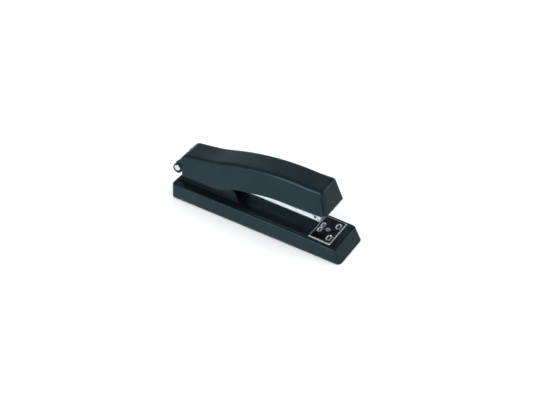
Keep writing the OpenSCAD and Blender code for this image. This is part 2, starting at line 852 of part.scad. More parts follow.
// In the web's frame the leaf runs under the web, then down to the top of the staple rail
module return_spring() {
    rest = -(pin_z - rail_top - slack);
    x0 = leaf_rivet_x;
    fall = curve([[x0 + 5, web_z - 0.2], [x0 + 9, web_z - 1], [28, 1.6], [30.5, rest - 0.8]], 10);
    toe = curve([[31.3, rest - 1.2], [31.8, rest - 1.2], [32.4, rest - 0.9], [33, rest - 0.2]], 4);
    path = concat([[x0 - 3.5, web_z], [x0 + 3, web_z]], fall, toe);
    color(steel) difference() {
        at_web() side_plate(-leaf_hw, leaf_hw) polygon(sheet(path, leaf_t));
        at_web() translate([x0, 0, 0]) cylinder(r = leaf_rivet_r, h = 20, $fn = round_fn);
    }
}

module return_spring_rivet() {
    head_h = 0.7;
    head_r = leaf_rivet_r + 0.8;
    color(dull_steel) at_web() translate([leaf_rivet_x, 0, web_z]) {
        translate([0, 0, -leaf_t]) cylinder(r = leaf_rivet_r, h = leaf_t + web_t, $fn = round_fn);
        translate([0, 0, -leaf_t - head_h]) cylinder(r = head_r, h = head_h, $fn = round_fn);
        translate([0, 0, web_t]) cylinder(r = head_r - 0.1, h = head_h, $fn = round_fn);
    }
}

base_shell();
base_pad();
hinge_bracket();
bracket_rivets();
lift_spring();
lift_spring_rivet();
hinge_pin();
pin_retainer();
hinge_washers();
anvil_plate();
anvil_stud();
anvil_button();
anvil_spring();
anvil_clip();
magazine_channel();
magazine_nose();
staple_rail();
rail_pin();
hinge_bush();
spring_seat();
seat_rivets();
rod_support();
guide_rod();
pusher_spring();
staple_strip();
pusher();
handle_shell();
handle_frame();
frame_screws();
driver_blade();
driver_rivets();
return_spring();
return_spring_rivet();
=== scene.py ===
import json
import math

import bmesh
import bpy
from mathutils import Matrix, Vector


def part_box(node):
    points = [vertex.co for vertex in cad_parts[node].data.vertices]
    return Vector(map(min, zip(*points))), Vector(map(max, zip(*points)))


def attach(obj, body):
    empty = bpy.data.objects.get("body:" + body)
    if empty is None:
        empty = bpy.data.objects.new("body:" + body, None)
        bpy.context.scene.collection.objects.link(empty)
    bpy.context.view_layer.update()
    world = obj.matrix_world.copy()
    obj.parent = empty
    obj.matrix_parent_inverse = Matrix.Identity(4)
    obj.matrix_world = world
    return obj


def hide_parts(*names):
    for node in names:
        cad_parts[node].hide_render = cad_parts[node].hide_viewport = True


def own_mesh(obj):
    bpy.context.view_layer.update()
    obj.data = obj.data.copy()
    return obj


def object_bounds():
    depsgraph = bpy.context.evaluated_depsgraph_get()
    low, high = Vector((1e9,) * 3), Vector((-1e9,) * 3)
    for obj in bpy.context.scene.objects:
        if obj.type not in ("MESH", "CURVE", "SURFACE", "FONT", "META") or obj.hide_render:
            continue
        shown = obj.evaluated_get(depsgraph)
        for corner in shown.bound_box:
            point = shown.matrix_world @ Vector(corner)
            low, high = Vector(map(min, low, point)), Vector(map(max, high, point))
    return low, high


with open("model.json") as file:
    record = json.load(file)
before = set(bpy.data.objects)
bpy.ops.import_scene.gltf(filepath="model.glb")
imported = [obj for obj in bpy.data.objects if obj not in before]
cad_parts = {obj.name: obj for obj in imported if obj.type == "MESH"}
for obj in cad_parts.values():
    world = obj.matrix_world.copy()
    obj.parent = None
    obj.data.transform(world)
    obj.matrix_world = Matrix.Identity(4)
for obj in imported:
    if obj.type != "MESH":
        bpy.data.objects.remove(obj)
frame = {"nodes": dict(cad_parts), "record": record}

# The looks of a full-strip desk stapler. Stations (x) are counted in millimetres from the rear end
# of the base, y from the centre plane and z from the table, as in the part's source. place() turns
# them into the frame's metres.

MM = 0.001
cad_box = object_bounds()
nodes = frame["nodes"]
rear_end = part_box("base_shell")[0].x


def span(node):
    """A CAD node's box as lowest and highest corner, in millimetres from the base's rear end."""
    low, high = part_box(node)
    shift = Vector((rear_end, 0, 0))
    return (low - shift) / MM, (high - shift) / MM


# ---- Driving dimensions, in millimetres ----

# Base; rim_round is the rounding of its lower rim and of the handle's
base_low, base_high = span("base_shell")
base_l = base_high.x
base_hw = base_high.y
base_h = base_high.z
rim_z = base_low.z
rim_round = 0.45
base_wall = 2.2
base_draft = 1.4
corner_r = 4.6
edge_r = 1.2
nose_ease = 2.2
kink_x = 135
nose_x = base_l - 7.2
nose_slope = 1.3 / (nose_x - kink_x)
rear_inset = 0.6
rib_stations = (36, 70, 128, 146)
rib_t = 1.8

# Hinge pin and bracket
pin_x = 6
pin_z = 34.9
pin_r = 2.3
pin_head_r = 3.3
pin_head_h = 1.15
boss_face_y = 16.35
bracket_hw = 12
bracket_t = 1.2
bracket_lobe_r = 5.2
bracket_rear = 3
bracket_front = 73

# Magazine
mag_hw = span("magazine_channel")[1].y
mag_z = 28.4
mag_top = 40
mag_t = 0.8
mag_front = 160
mag_rear = 14
mag_lobe_r = 4.9
lip_drop = 0.8
rail_top = 35.4
strip_x = (span("staple_strip")[0].x, span("staple_strip")[1].x)
rod_z = 31.9
seat_x = 20.05
ring_x = 87.55

# Anvil, with its pockets as (x, y, length, width) from its middle: the close pair turns a staple's legs
# inwards and the wide pair turns them outwards
anvil_x = 164.4
anvil_z = base_h - (anvil_x - kink_x) * nose_slope
anvil_l = 22.6
anvil_w = 33.8
anvil_t = 1.4
anvil_bevel = 0.62
bevel_drop = 0.6
pocket_drop = 0.6
close_pair = (-6.7, 3.6, 6.4, 3.4)
wide_pair = (6.4, 9.2, 7.4, 4.2)
spring_low = -8.15

# Leaf springs, drawn at the angle that the stapler's joints can be pressed to
press = math.tan(math.radians(3.4))
leaf_t = 0.5

# Handle; a line is (station, height there, slope)
handle_top_w = 13
handle_low_w = 17.3
handle_wall = 2
edge_round = 3.2
front_round = 4
rear_round = 2
front_low_x = 171
front_top_x = 164.7
front_low_z = 46.4
side_low_z = 44.45
skirt_z = 27.7
belly_line = (66, 33.8, 0.55)
arm_line = (86, 39.35, 0.185)
chin_x = 163
chin_r = 8
crest_x = 128.5
crest_z = 69.35
arch_bend = 0.00215
tail_slope = 0.129
front_slope = (66.8 - front_low_z) / (front_low_x - front_top_x)
rear_top = (11.7, 50.1)
rear_slope = 1.32
lobe_r = 5.7
lobe_front = 11.5
yoke_hw = 12.5
boss_r = 4.6
screw_stations = (54, 124)
web_angle = math.radians(3.55)
web_z = 7.4

anvil_place = Matrix.Translation((anvil_x, 0, anvil_z)) @ Matrix.Rotation(math.atan(nose_slope), 4, "Y")
web_place = Matrix.Translation((pin_x, 0, pin_z)) @ Matrix.Rotation(-web_angle, 4, "Y")


# ---- Making pieces ----

def place(points, local=None):
    """Points in millimetres, in the frame local if one is given, as points of the frame in metres."""
    if local is not None:
        points = [local @ Vector(p) for p in points]
    return [(p[0] * MM + rear_end, p[1] * MM, p[2] * MM) for p in points]


def closed(mesh):
    """Merges the mesh's points that lie together and turns its faces outwards."""
    work = bmesh.new()
    work.from_mesh(mesh)
    bmesh.ops.remove_doubles(work, verts=work.verts, dist=0.002 * MM)
    bmesh.ops.recalc_face_normals(work, faces=work.faces)
    work.to_mesh(mesh)
    work.free()


def solid(name, points, faces, local=None):
    """A closed mesh object."""
    mesh = bpy.data.meshes.new(name)
    mesh.from_pydata(place(points, local), [], faces)
    closed(mesh)
    made = bpy.data.objects.new(name, mesh)
    bpy.context.scene.collection.objects.link(made)
    return made


def baked(obj):
    """Turns an object and its modifiers into a plain mesh object of the same name."""
    bpy.context.view_layer.update()
    graph = bpy.context.evaluated_depsgraph_get()
    mesh = bpy.data.meshes.new_from_object(obj.evaluated_get(graph))
    mesh.transform(obj.matrix_world)
    name = obj.name
    bpy.data.objects.remove(obj)
    made = bpy.data.objects.new(name, mesh)
    bpy.context.scene.collection.objects.link(made)
    return made


def cut(obj, tool, operation="DIFFERENCE"):
    """Takes tool away from obj, or adds it with UNION."""
    step = obj.modifiers.new("cut", "BOOLEAN")
    step.operation = operation
    step.solver = "EXACT"
    step.object = tool
    made = baked(obj)
    bpy.data.objects.remove(tool)
    return made


def joined(name, parts):
    """Several mesh objects as one."""
    work = bmesh.new()
    for part in parts:
        work.from_mesh(part.data)
        bpy.data.objects.remove(part)
    mesh = bpy.data.meshes.new(name)
    work.to_mesh(mesh)
    work.free()
    made = bpy.data.objects.new(name, mesh)
    bpy.context.scene.collection.objects.link(made)
    return made


def piece(obj, name, body, slot, replaces, sharp=32):
    """Names a finished mesh, gives it its slot's look and hands it to its body."""
    obj.name = name
    obj.data.name = name
    obj.data.shade_smooth()
    obj.data.set_sharp_from_angle(angle=math.radians(sharp))
    obj.data.materials.clear()
    obj.data.materials.append(looks[slot])
    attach(obj, body)
    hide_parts(*replaces)


def spaced(low, high, steps):
    """Evenly spaced values from low up to, but without, high."""
    return [low + (high - low) * i / steps for i in range(steps)]


def arc(centre, r, start, end, steps):
    """Points on a circle in the plane, angles in degrees."""
    angles = [math.radians(a) for a in spaced(start, end, steps) + [end]]
    return [(centre[0] + r * math.cos(a), centre[1] + r * math.sin(a)) for a in angles]


def bezier(p, steps):
    """Points on a cubic curve with four control points."""
    made = []
    for i in range(steps + 1):
        t = i / steps
        k = ((1 - t) ** 3, 3 * (1 - t) ** 2 * t, 3 * (1 - t) * t * t, t ** 3)
        made.append(tuple(sum(k[n] * p[n][axis] for n in range(4)) for axis in (0, 1)))
    return made


SIDE = Matrix(((1, 0, 0, 0), (0, 0, -1, 0), (0, 1, 0, 0), (0, 0, 0, 1)))   # plane x-y to x-z
FRONT = Matrix(((0, 0, 1, 0), (1, 0, 0, 0), (0, 1, 0, 0), (0, 0, 0, 1)))   # plane x-y to y-z
FLAT = Matrix.Identity(4)


def plate(name, outline, holes, middle, thickness, turn, round_edge=0.2):
    """A sheet with rounded edges: outline and holes lie in a plane, which turn and middle place."""
    curve = bpy.data.curves.new(name, "CURVE")
    curve.dimensions = "2D"
    curve.fill_mode = "BOTH"
    curve.extrude = (thickness / 2 - round_edge) * MM
    curve.bevel_depth = round_edge * MM
    curve.bevel_resolution = 2
    curve.offset = -round_edge * MM
    for loop in [outline] + list(holes):
        line = curve.splines.new("POLY")
        line.points.add(len(loop) - 1)
        for point, (x, y) in zip(line.points, loop):
            point.co = (x * MM, y * MM, 0, 1)
        line.use_cyclic_u = True
    made = bpy.data.objects.new(name, curve)
    bpy.context.scene.collection.objects.link(made)
    made.matrix_world = Matrix.Translation(place([middle])[0]) @ turn
    made = baked(made)
    closed(made.data)
    return made


def grid_faces(rows, columns, ring=False):
    """Quads over a grid of points kept row by row; ring closes each row on itself."""
    faces = []
    for i in range(rows - 1):
        for j in range(columns if ring else columns - 1):
            k = (j + 1) % columns
            here, ahead = i * columns, (i + 1) * columns
            faces.append((here + j, here + k, ahead + k, ahead + j))
    return faces


def lathe(name, profile, local, steps=48):
    """Turns (radius, height) points about the local z axis; the profile starts and ends on the axis."""
    inner = profile[1:-1]
    points = []
    for r, h in inner:
        for i in range(steps):
            a = 2 * math.pi * i / steps
            points.append((r * math.cos(a), r * math.sin(a), h))
    faces = grid_faces(len(inner), steps, ring=True)
    first = len(points)
    points += [(0, 0, profile[0][1]), (0, 0, profile[-1][1])]
    last_ring = (len(inner) - 1) * steps
    for i in range(steps):
        k = (i + 1) % steps
        faces.append((i, k, first))
        faces.append((last_ring + i, last_ring + k, first + 1))
    return solid(name, points, faces, local)


def coil(name, r, wire, length, turns, local, steps=20, sides=8):
    """A round wire wound along the local z axis, with half a closed turn at each end."""
    rings = int(turns * steps)
    points = []
    for i in range(rings + 1):
        a = 2 * math.pi * i / steps
        t = i / rings
        settle = 0.5 / turns
        rise = min(max((t - settle) / (1 - 2 * settle), 0), 1)
        middle = wire + (length - 2 * wire) * rise
        for j in range(sides):
            b = 2 * math.pi * j / sides
            d = r + wire * math.cos(b)
            points.append((d * math.cos(a), d * math.sin(a), middle + wire * math.sin(b)))
    faces = grid_faces(rings + 1, sides, ring=True)
    faces.append(tuple(range(sides)))
    faces.append(tuple(rings * sides + j for j in reversed(range(sides))))
    return solid(name, points, faces, local)


# ---- Materials ----

# Which way a pattern is drawn out, as noise scales along x, y and z.
ALONG = (0.04, 1, 1)
ROUND = (1, 1, 1)
ACROSS = (1, 0.05, 1)


def add_node(tree, kind, inputs=None, **settings):
    """A new shader node; each input is either a value or another node's output."""
    made = tree.nodes.new(kind)
    for key, value in settings.items():
        setattr(made, key, value)
    for key, value in (inputs or {}).items():
        if isinstance(value, bpy.types.NodeSocket):
            tree.links.new(value, made.inputs[key])
        else:
            made.inputs[key].default_value = value
    return made


class Surface:
    """A procedural material, built up step by step on one Principled shader."""

    def __init__(self, name, metallic, specular=0.5, tint=(1, 1, 1)):
        self.made = bpy.data.materials.new(name)
        self.made.use_nodes = True
        self.tree = self.made.node_tree
        self.shader = self.tree.nodes["Principled BSDF"]
        self.shader.inputs["Metallic"].default_value = metallic
        self.shader.inputs["Specular IOR Level"].default_value = specular
        self.shader.inputs["Specular Tint"].default_value = (*tint, 1)
        self.coords = self.add("ShaderNodeTexCoord").outputs["Object"]

    def add(self, kind, inputs=None, **settings):
        """A node of this material."""
        return add_node(self.tree, kind, inputs, **settings)

    def noise(self, size, detail=3, stretch=(1, 1, 1)):
        """Noise whose features are about size millimetres across, longer along a stretched axis."""
        scaled = self.add("ShaderNodeMapping", {"Vector": self.coords, "Scale": stretch})
        inputs = {"Vector": scaled.outputs["Vector"], "Scale": 1 / (size * MM), "Detail": detail}
        return self.add("ShaderNodeTexNoise", inputs).outputs["Fac"]

    def ramp(self, value, low, high, at_low, at_high):
        """value from low..high, mapped smoothly to at_low..at_high."""
        inputs = {"Value": value, "From Min": low, "From Max": high, "To Min": at_low, "To Max": at_high}
        return self.add("ShaderNodeMapRange", inputs, interpolation_type="SMOOTHSTEP").outputs["Result"]

    def blend(self, share, first, second):
        """first where share is 0 and second where it is 1."""
        inputs = {"Fac": share, "Color1": first, "Color2": second}
        return self.add("ShaderNodeMixRGB", inputs).outputs["Color"]

    def times(self, a, b):
        """The product of two values."""
        return self.add("ShaderNodeMath", {0: a, 1: b}, operation="MULTIPLY").outputs["Value"]

    def edges(self, width, start, full, whole=0.15):
        """A mask along edges, within width of them; between its patches it falls to whole."""
        rounded = self.add("ShaderNodeBevel", {"Radius": width * MM}, samples=4).outputs["Normal"]
        plain = self.add("ShaderNodeNewGeometry").outputs["Normal"]
        same = self.add("ShaderNodeVectorMath", {0: rounded, 1: plain}, operation="DOT_PRODUCT")
        mask = self.ramp(same.outputs["Value"], start, full, 0.0, 1.0)
        return self.times(mask, self.ramp(self.noise(2.5, 4), 0.42, 0.62, whole, 1.0))

    def crevice_shade(self, reach):
        """A painted-shade mask: 1 deep in gaps and holes narrower than reach, where shade falls."""
        inputs = {"Distance": reach * MM}
        open_share = self.add("ShaderNodeAmbientOcclusion", inputs, samples=6).outputs["AO"]
        return self.ramp(open_share, 0.15, 0.6, 1.0, 0.0)

    def link(self, socket, value):
        """Feeds value into one of the shader's sockets."""
        self.tree.links.new(value, self.shader.inputs[socket])

    def finish(self, color, roughness, bumps, width=0.4):
        """Links colour and roughness, and lays bumps, as (height, millimetres), over rounded edges."""
        self.link("Base Color", color)
        self.link("Roughness", roughness)
        normal = self.add("ShaderNodeBevel", {"Radius": width * MM}, samples=4).outputs["Normal"]
        for height, depth in bumps:
            inputs = {"Height": height, "Distance": depth * MM, "Strength": 1.0, "Normal": normal}
            normal = self.add("ShaderNodeBump", inputs).outputs["Normal"]
        self.link("Normal", normal)
        return self.made


def shade(color, factor):
    """A lighter or darker version of a colour."""
    return (color[0] * factor, color[1] * factor, color[2] * factor, 1)


def moulded(name, color, roughness, grain, depth, wear, tint=(1, 1, 1)):
    """Moulded plastic: cloudy tone, a fine eroded grain, handled shine and paler rubbed edges."""
    s = Surface(name, 0.0, specular=0.45, tint=tint)
    clouds = s.noise(28, 4)
    fine = s.noise(grain, 2)
    swirls = s.noise(6, 3)
    tone = s.blend(s.ramp(clouds, 0.35, 0.65, 0, 1), shade(color, 0.82), shade(color, 1.2))
    tone = s.blend(s.times(s.ramp(fine, 0.5, 0.75, 0, 1), 0.35), tone, shade(color, 1.6))
    rubbed = s.edges(0.5, 0.985, 0.9)
    tone = s.blend(s.times(rubbed, wear), tone, shade(color, 3.2))
    gloss = s.ramp(swirls, 0.3, 0.7, roughness * 0.9, roughness * 1.1)
    return s.finish(tone, gloss, [(swirls, 0.003), (fine, depth)])


def enamel(name, color, roughness, peel, wear, tint=(1, 1, 1), specular=0.45):
    """Stoved enamel: a soft orange peel, faint dust-fine specks and bright chipped edges."""
    s = Surface(name, 0.0, specular=specular, tint=tint)
    clouds = s.noise(35, 3)
    waves = s.noise(peel, 2)
    specks = s.noise(0.5, 2)
    tone = s.blend(s.ramp(clouds, 0.35, 0.65, 0, 1), shade(color, 0.85), shade(color, 1.18))
    tone = s.blend(s.times(s.ramp(specks, 0.66, 0.8, 0, 1), 0.15), tone, shade(color, 2.0))
    rubbed = s.edges(0.45, 0.98, 0.88)
    tone = s.blend(s.times(rubbed, wear), tone, shade(color, 4.5))
    gloss = s.ramp(s.noise(9, 4), 0.3, 0.7, roughness * 0.93, roughness * 1.07)
    return s.finish(tone, gloss, [(waves, 0.002), (specks, 0.0004)])


def bare_metal(name, color, roughness, stretch, wear, depth=0.003, metallic=1.0):
    """Plated or bare steel: rolling marks, dull patches, worn edges, and painted shade that darkens gaps and
    holes.
    """
    s = Surface(name, metallic)
    marks = s.noise(0.35, 4, stretch)
    patches = s.noise(7, 4)
    tone = s.blend(s.ramp(patches, 0.35, 0.7, 0, 1), shade(color, 1.05), shade(color, 0.86))
    tone = s.blend(s.times(s.ramp(marks, 0.4, 0.7, 0, 1), 0.3), tone, shade(color, 0.78))
    tone = s.blend(s.times(s.edges(0.3, 0.98, 0.88), wear), tone, shade(color, 1.2))
    # Painted shade: deep in gaps and holes the colour falls to a tenth.
    tone = s.blend(s.times(s.crevice_shade(2.5), 0.85), tone, shade(color, 0.1))
    gloss = s.ramp(patches, 0.3, 0.7, roughness * 0.8, roughness * 1.3)
    return s.finish(tone, gloss, [(patches, 0.006), (marks, depth)], width=0.25)


def painted_rim_plate(name, field, rim_highlight_color, roughness):
    """Steel painted dark over its field and bright along its rim and pocket edges: a painted dark reflection
    on the field and painted highlights on the edges.
    """
    s = Surface(name, 1.0)
    marks = s.noise(0.3, 4, ACROSS)
    patches = s.noise(6, 4)
    dark = s.blend(s.ramp(patches, 0.35, 0.7, 0, 1), shade(field, 0.8), shade(field, 1.25))
    bright = s.blend(s.ramp(marks, 0.4, 0.7, 0, 1), shade(rim_highlight_color, 1.0), shade(rim_highlight_color, 0.86))
    # Painted highlight: the rim and pocket edges take a bright colour and less metallic gloss, so they look
    # paler; the field is painted dark.
    worn = s.edges(1.35, 0.9997, 0.994, whole=0.95)
    tone = s.blend(worn, dark, bright)
    s.link("Metallic", s.ramp(worn, 0, 1, 1.0, 0.75))
    gloss = s.ramp(patches, 0.3, 0.7, roughness * 0.85, roughness * 1.2)
    return s.finish(tone, gloss, [(patches, 0.003), (marks, 0.001)], width=0.2)


def rubbery(name, color):
    """Matt moulded rubber with dust on it."""
    s = Surface(name, 0.0, specular=0.3)
    fine = s.noise(0.6, 3)
    dust = s.noise(12, 5)
    tone = s.blend(s.ramp(dust, 0.45, 0.7, 0, 0.7), shade(color, 1), shade(color, 2.4))
    return s.finish(tone, s.ramp(fine, 0.3, 0.7, 0.7, 0.92), [(fine, 0.03)])


# The blue-green cast of the black finishes' reflections.
TEAL = (0.42, 0.88, 1.0)

looks = {
    "handle_black": moulded("handle_plastic", (0.006, 0.009, 0.0105), 0.29, 0.45, 0.003, 0.35, TEAL),
    "black_enamel": enamel("base_enamel", (0.006, 0.008, 0.009), 0.24, 1.6, 0.3, TEAL),
    "black_steel": enamel("bracket_enamel", (0.009, 0.011, 0.012), 0.38, 1.2, 0.08, TEAL, 0.22),
    "black_plastic": moulded("black_plastic", (0.012, 0.012, 0.013), 0.42, 0.4, 0.004, 0.3),
    "rubber_pad": rubbery("rubber", (0.018, 0.018, 0.018)),
    "plain_steel": bare_metal("plated_steel", (0.47, 0.49, 0.51), 0.34, ALONG, 0.3, metallic=0.82),
    "spring_steel": bare_metal("spring_steel", (0.46, 0.46, 0.47), 0.28, ROUND, 0.3, metallic=0.85),
    "chrome_pin": bare_metal("pin_nickel", (0.95, 0.95, 0.95), 0.2, ROUND, 0.2, 0.001),
    # Anvil plate: a painted dark reflection on its field, and painted highlights on its rim and pockets.
    "anvil_steel": painted_rim_plate("anvil_steel", (0.05, 0.055, 0.062), (0.95, 0.95, 0.96), 0.2),
    "magazine_chrome": bare_metal("magazine_nickel", (0.95, 0.96, 0.98), 0.17, ALONG, 0.2, 0.0015),
    "staple_wire": bare_metal("staple_wire", (0.45, 0.455, 0.47), 0.3, ACROSS, 0.2, metallic=0.82),
    "screw_zinc": bare_metal("screw_zinc", (0.66, 0.67, 0.69), 0.3, ROUND, 0.4, metallic=0.82),
}

# Every CAD node takes its slot's look; the ones replaced below are hidden later.
slot_of = {row["node"]: row["material_slot"] for row in frame["record"]["subparts"]}
for node_name, node_object in nodes.items():
    node_object.data.materials.clear()
    node_object.data.materials.append(looks[slot_of[node_name]])


# ---- Base ----

def base_top(x):
    """The base's top: level, then a gentle fall to the nose."""
    fall = (x - kink_x) * nose_slope
    return base_h - (fall + math.sqrt(fall * fall + 0.09)) / 2


def base_loop(inset, share, r):
    """One closed outline of the base; share goes from 0 at the rim to 1 at the start of the top edge."""
    x0 = rear_inset * share + inset
    x1 = base_l - (base_l - nose_x - edge_r) * share - inset * (nose_ease if share == 1 else 1)
    hw = base_hw - base_draft * share - inset
    corner = arc((0, 0), r, 0, 90, 10)
    rear = [(x0 + r - px, hw - r + py) for px, py in corner]
    front = [(x1 - r + px, hw - r + py) for px, py in reversed(corner)]
    side = [(x, hw) for x in spaced(rear[-1][0], front[0][0], 48)[1:]]
    half = [(x0, 0)] + rear + side + front + [(x1, 0)]
    return half + [(x, -y) for x, y in reversed(half[1:-1])]


def build_base():
    """A hollow cover of rings, from the inside under the rim and up over the top edge, and its ribs."""
    rows = []
    inner_rim = 0.4
    for share in (1.0, 0.5, 0.0):
        outline = base_loop(base_wall, share, corner_r - base_draft * share - 1.4)
        rows.append([(x, y, rim_z + inner_rim + share * (base_top(x) - base_wall - rim_z - inner_rim))
                     for x, y in outline])
    for inset, lift in ((0.5, 0.0), (0.15, 0.1), (0.0, rim_round)):
        rows.append([(x, y, rim_z + lift) for x, y in base_loop(inset, 0, corner_r - inset)])
    for share in spaced(0, 1, 6)[1:] + [1]:
        outline = base_loop(0, share, corner_r - base_draft * share)
        rows.append([(x, y, rim_z + rim_round + share * (base_top(x) - edge_r - rim_z - rim_round))
                     for x, y in outline])
    for degrees in spaced(0, 90, 7)[1:] + [90]:
        a = math.radians(degrees)
        inset = edge_r * (1 - math.cos(a))
        outline = base_loop(inset, 1, corner_r - base_draft - inset)
        rows.append([(x, y, base_top(x) - edge_r * (1 - math.sin(a))) for x, y in outline])
    count = len(rows[0])
    points = [p for row in rows for p in row]
    faces = grid_faces(len(rows), count, ring=True)
    # The ceiling inside and the top outside are strips that run from side to side.
    for start in (0, (len(rows) - 1) * count):
        for k in range(count // 2):
            a, b = start + k, start + k + 1
            c, d = start + (count - k - 1) % count, start + (count - k) % count
            faces.append((a, b, c) if k == 0 else (a, b, d) if b == c else (a, b, c, d))
    shell = solid("base_form", points, faces)
    boss = lathe("boss", [(0, -3.2), (5.5, -3.2), (5.5, -1.2), (0, -1.2)], anvil_place)
    rib_foot = 3
    rib_top = base_h - 1.4
    foot_hw = 19.3
    top_hw = 19
    ribs = []
    for x in rib_stations:
        outline = [(-foot_hw, rib_foot), (foot_hw, rib_foot), (top_hw, rib_top), (-top_hw, rib_top)]
        ribs.append(plate("rib", outline, [], (x, 0, 0), rib_t, FRONT))
    return joined("base", [shell, boss] + ribs)


piece(build_base(), "base_body", "base", "black_enamel", ["base_shell"])


# ---- Hinge bracket and pin ----

def build_bracket():
    """Two cheeks with bores for the pin, a floor between them, and the bends that join them."""
    shoulder = (62, 31.2)
    foot_z = base_h + 0.1
    front = bezier([(66.5, 29.4), (70.5, 26), (71.8, 20.5), (bracket_front + 0.3, foot_z)], 14)
    lobe = arc((pin_x, pin_z), bracket_lobe_r, 87.622, 293, 30)
    outline = [shoulder] + lobe + [(8, foot_z)] + front[::-1]
    bore = arc((pin_x, pin_z), pin_r, 0, 348.75, 31)
    parts = []
    for side in (-1, 1):
        middle = side * (bracket_hw - bracket_t / 2)
        parts.append(plate("cheek", outline, [bore], (0, middle, 0), bracket_t, SIDE, 0.25))
    floor_hw = bracket_hw - 0.4
    floor = [(bracket_rear, -floor_hw), (bracket_front, -floor_hw)]
    floor += [(bracket_front, floor_hw), (bracket_rear, floor_hw)]
    parts.append(plate("floor", floor, [], (0, 0, base_h + bracket_t / 2), bracket_t, FLAT, 0.25))
    stations = (bracket_rear + 0.2, bracket_front)
    for side in (-1, 1):
        bend = arc((side * (bracket_hw - bracket_t), base_h + bracket_t), 1.15, -90, -90 + side * 90, 6)
        points = [(x, y, z) for x in stations for y, z in bend]
        points += [(x, side * (bracket_hw - 1.25), base_h + 1.15) for x in stations]
        count = len(bend)
        faces = grid_faces(2, count)
        faces.append(tuple(range(count)) + (2 * count,))
        faces.append(tuple(reversed(range(count, 2 * count))) + (2 * count + 1,))
        faces.append((0, 2 * count, 2 * count + 1, count))
        faces.append((count - 1, 2 * count - 1, 2 * count + 1, 2 * count))
        parts.append(solid("bend", points, faces))
    return joined("bracket", parts)


piece(build_bracket(), "bracket_body", "base", "black_steel", ["hinge_bracket"])


def build_pin():
    """The pin, with a domed head at one end and a peened end in a retaining ring at the other."""
    half = boss_face_y + 0.05
    end = half + pin_head_h
    dome = [(1.6, 1.13), (2.4, 1.02), (2.9, 0.8), (3.18, 0.45), (pin_head_r, 0.15), (pin_head_r, 0)]
    peened = [(pin_head_r, 0), (pin_head_r, 0.2), (3.15, 0.6), (2.7, 0.84), (2.35, 0.9), (2.3, 1.05)]
    peened += [(2.0, 1.14)]
    profile = [(0, end)] + [(r, half + h) for r, h in dome] + [(pin_r, half)]
    profile += [(pin_r, -half)] + [(r, -half - h) for r, h in peened] + [(0, -end)]
    turn = Matrix.Translation((pin_x, 0, pin_z)) @ Matrix.Rotation(math.radians(90), 4, "X")
    return lathe("pin", profile, turn, 64)


piece(build_pin(), "hinge_pin_body", "base", "chrome_pin", ["hinge_pin", "pin_retainer"])


# ---- Anvil ----

def grid_lines(low, high, marks, coarse, fine, reach):
    """Grid lines from low to high, close together within reach of each mark."""
    made = [low]
    while made[-1] < high:
        x = made[-1]
        near = min(abs(x - m) for m in marks) < reach
        made.append(x + (fine if near else coarse))
    made[-1] = high
    return made


def pocket_depth(x, y, pocket):
    """Depth of a trough with round ends and a dished floor, as a share of its full depth."""
    px, py, length, width = pocket
    r = width / 2
    along = max(abs(y - py) - (length / 2 - r), 0)
    d = math.hypot(x - px, along)
    if d >= r:
        return 0.0
    edge = min((r - d) / 0.45, 1)
    dish = 0.72 + 0.28 * (1 - (d / r) ** 2)
    return dish * edge * edge * (3 - 2 * edge)


def build_anvil():
    """A plate as a fine grid of heights, with a bevelled rim and dished pockets."""
    pockets = []
    for x, y, length, width in (close_pair, wide_pair):
        pockets += [(x, s * y, length, width) for s in (-1, 1)]
    hl = anvil_l / 2
    hw = anvil_w / 2
    x_marks = [-hl, hl] + [p[0] + s * p[3] / 2 for p in pockets for s in (-1, 1)]
    y_marks = [-hw, hw] + [p[1] + s * p[2] / 2 for p in pockets for s in (-1, 1)]
    xs = grid_lines(-hl, hl, x_marks, coarse=0.5, fine=0.11, reach=0.7)
    ys = grid_lines(-hw, hw, y_marks, coarse=0.5, fine=0.11, reach=1.1)
    points = []
    for x in xs:
        for y in ys:
            inside = min(hl - abs(x), hw - abs(y))
            z = anvil_t
            if inside < anvil_bevel:
                z -= bevel_drop * (1 - inside / anvil_bevel)
            z -= pocket_drop * max(pocket_depth(x, y, p) for p in pockets)
            points.append((x, y, z))
    faces = grid_faces(len(xs), len(ys))
    rim = list(range(len(ys)))
    rim += [i * len(ys) + len(ys) - 1 for i in range(1, len(xs))]
    rim += [(len(xs) - 1) * len(ys) + j for j in reversed(range(len(ys) - 1))]
    rim += [i * len(ys) for i in reversed(range(1, len(xs) - 1))]
    start = len(points)
    points += [(points[i][0], points[i][1], 0.02) for i in rim]
    for i in range(len(rim)):
        k = (i + 1) % len(rim)
        faces.append((rim[i], rim[k], start + k, start + i))
    faces.append(tuple(range(start, len(points))))
    return solid("anvil", points, faces, anvil_place)


piece(build_anvil(), "anvil_plate_body", "anvil", "anvil_steel", ["anvil_plate"], 24)


def build_stud():
    """The stud that the anvil turns on: a low domed head, and a neck for the clip at its foot."""
    head = [(0, 1.9), (0.9, 1.88), (1.7, 1.78), (2.2, 1.6), (2.4, 1.42), (2.4, 1.4), (2.0, 1.38)]
    shaft = [(2.0, -10.1), (1.5, -10.1), (1.5, -10.7), (2.0, -10.7)]
    tip = [(2.0, -11.1), (1.8, -11.3), (0, -11.3)]
    return lathe("stud", head + shaft + tip, anvil_place)


piece(build_stud(), "anvil_stud_body", "anvil", "plain_steel", ["anvil_stud"])


def build_button():
    """The button under the base, dished for a fingertip."""
    dish = [(0, -9.4), (2.06, -9.42), (4.2, -9.6), (5.4, -9.9), (5.9, -10), (6.3, -9.9), (6.5, -9.6)]
    top = [(6.5, -8.5), (6.3, -8.25), (6, -8.2), (2.7, -8.2), (2.7, -7.3), (2.6, -7.2), (0, -7.2)]
    return lathe("button", dish + top, anvil_place)


piece(build_button(), "anvil_button_body", "anvil_button", "black_plastic", ["anvil_button"])

